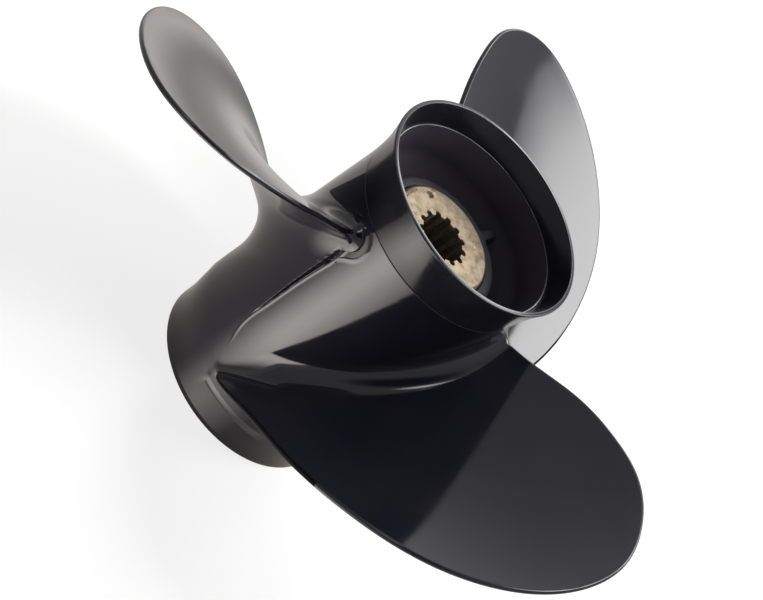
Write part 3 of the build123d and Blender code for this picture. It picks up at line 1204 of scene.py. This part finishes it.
panel = {
    "glow": 6.3,
    "nearGlow": 0.36,
    "nearReach": (50.0, 105.0),
    "colour": (1.0, 0.945, 0.895),
    "stops": (
        (250, 0.0), (259, 0.12), (269, 0.45), (278, 0.76), (288, 1.0),
        (298, 0.95), (310, 0.66), (322, 0.42), (332, 0.17), (341, 0.0),
    ),
    "focus": (12.3, -18.9),
    "angles": (242.0, 342.0),
    "innerRadius": 47.0,
    "outerReach": 280.0,
    "height": 0.3,
}


def makePanel():
    # thin light panel on the floor beside the hub, glowing upwards only: a fan that starts on the inner
    # circle round Z and runs along rays from its focus; its glow follows the stops by angle and falls
    # off close to the hub
    focus = np.array(panel["focus"])
    angles = np.radians(np.linspace(*panel["angles"], 61))
    direction = np.stack([np.cos(angles), np.sin(angles)], -1)
    along = direction @ focus
    start = -along + np.sqrt(along**2 + panel["innerRadius"] ** 2 - focus @ focus)
    along = np.stack([start, np.full_like(start, panel["outerReach"])])
    spots = focus + along[..., None] * direction
    points = np.concatenate([spots, np.full_like(spots[..., :1], panel["height"])], -1)
    faces = gridQuads(numbered(points))[:, ::-1]
    material, tree = glowMaterial("panel_glow")
    moved = vectorMath(tree, "SUBTRACT", coordinates(tree), (*(focus * mm), 0.0)).outputs[0]
    far = vectorMath(tree, "LENGTH", moved).outputs["Value"]
    reach = (distance * mm for distance in panel["nearReach"])
    fall = spread(tree, far, *reach, panel["nearGlow"] * panel["glow"], panel["glow"])
    behind = node(tree, "ShaderNodeNewGeometry").outputs["Backfacing"]
    glow = math(tree, "MULTIPLY", fall, spread(tree, behind, 0.0, 1.0, 1.0, 0.0))
    fan = roundRamp(tree, moved, panel["stops"], panel["colour"])
    feedShader(tree, {"Strength": glow, "Color": fan}, "Emission")
    addToStage("low_panel", points * mm, faces, material)


softboxes = {
    "overhead": {
        "elevations": (28, 32, 36, 40, 44, 50, 56, 62, 68, 76, 84),
        "startAngles": (66, 67, 68, 68, 68, 67, 62, 38, 28, 27, 22),
        "endAngles": (110, 109, 108, 106, 104, 101, 97, 92, 86, 82, 78),
        "glow": (0.7, 2.6, 5.0, 7.4, 8.9, 10.6, 11.8, 12.6, 13.4, 13.6, 13.6),
        "fades": (1.2, 3.0, 10.0),
    },
    "side": {
        "elevations": (17, 20, 26, 32, 36, 40, 48, 52),
        "startAngles": (118, 118, 118, 118, 116, 108, 104, 104),
        "endAngles": (129, 129, 129, 130, 131, 134, 137, 137),
        "glow": (6.5, 6.5, 6.5, 6.5, 6.5, 6.5, 6.5, 0.0),
        "fades": (3.0, 3.0, 3.0),
    },
}
softboxCentre = (0.0, 0.0, 0.1)
softboxDistance = 2.0


def makeSoftbox(name, elevations, startAngles, endAngles, glow, fades):
    # curved light panel, centre + distance * aim(a, e): a grid of directions between two azimuths for
    # each elevation, with a glow that changes with the elevation and fades out at three of its sides
    bottomFade, startFade, endFade = fades
    lowest, highest = elevations[0], elevations[-1]
    fadeRows = lowest + bottomFade * np.linspace(0, 1, 6)
    rows = np.concatenate([fadeRows, np.linspace(fadeRows[-1] + 1, highest, 50)])
    start, end = (throughPoints(elevations, angles, rows)[:, None] for angles in (startAngles, endAngles))
    azimuth = start + np.linspace(0, 1, 40) * (end - start)
    rows = rows[:, None] + 0 * azimuth
    points = np.array(softboxCentre) + softboxDistance * np.stack(aim(azimuth, rows), -1)
    level = np.interp(rows, elevations, glow) * fade(rows, lowest, lowest + bottomFade)
    level *= fade(azimuth, start, start + startFade) * fade(azimuth, end, end - endFade)
    material, tree = glowMaterial(f"softbox_{name}_glow")
    stored = node(tree, "ShaderNodeAttribute", attribute_name="glow").outputs["Fac"]
    feedShader(tree, {"Strength": stored}, "Emission")
    softbox = addToStage(f"softbox_{name}", points, gridQuads(numbered(points)), material)
    softbox.data.attributes.new("glow", "FLOAT", "POINT").data.foreach_set("value", level.ravel())


camera = {
    "place": (0.52732, -0.81144, 0.76573),
    "right": (0.22398, 0.70741, 0.67038),
    "up": (-0.86966, -0.16542, 0.46512),
    "back": (0.43993, -0.68718, 0.57815),
    "lens": 135.5,
    "sensor": 36.0,
}


def makeCamera():
    # the camera looks down on the aft end, turned about its own line of sight
    lens = bpy.data.cameras.new("camera")
    lens.lens, lens.sensor_width = camera["lens"], camera["sensor"]
    holder = bpy.data.objects.new("camera", lens)
    bpy.context.scene.collection.objects.link(holder)
    turn = Matrix([camera[axis] for axis in ("right", "up", "back")]).transposed().to_4x4()
    holder.matrix_world = Matrix.Translation(camera["place"]) @ turn
    bpy.context.scene.camera = holder


makeFloor()
makeWorld()
makePanel()
for name, settings in softboxes.items():
    makeSoftbox(name, **settings)
makeCamera()
bpy.context.scene.view_settings.view_transform = "Standard"
print("stage, lights and camera placed")
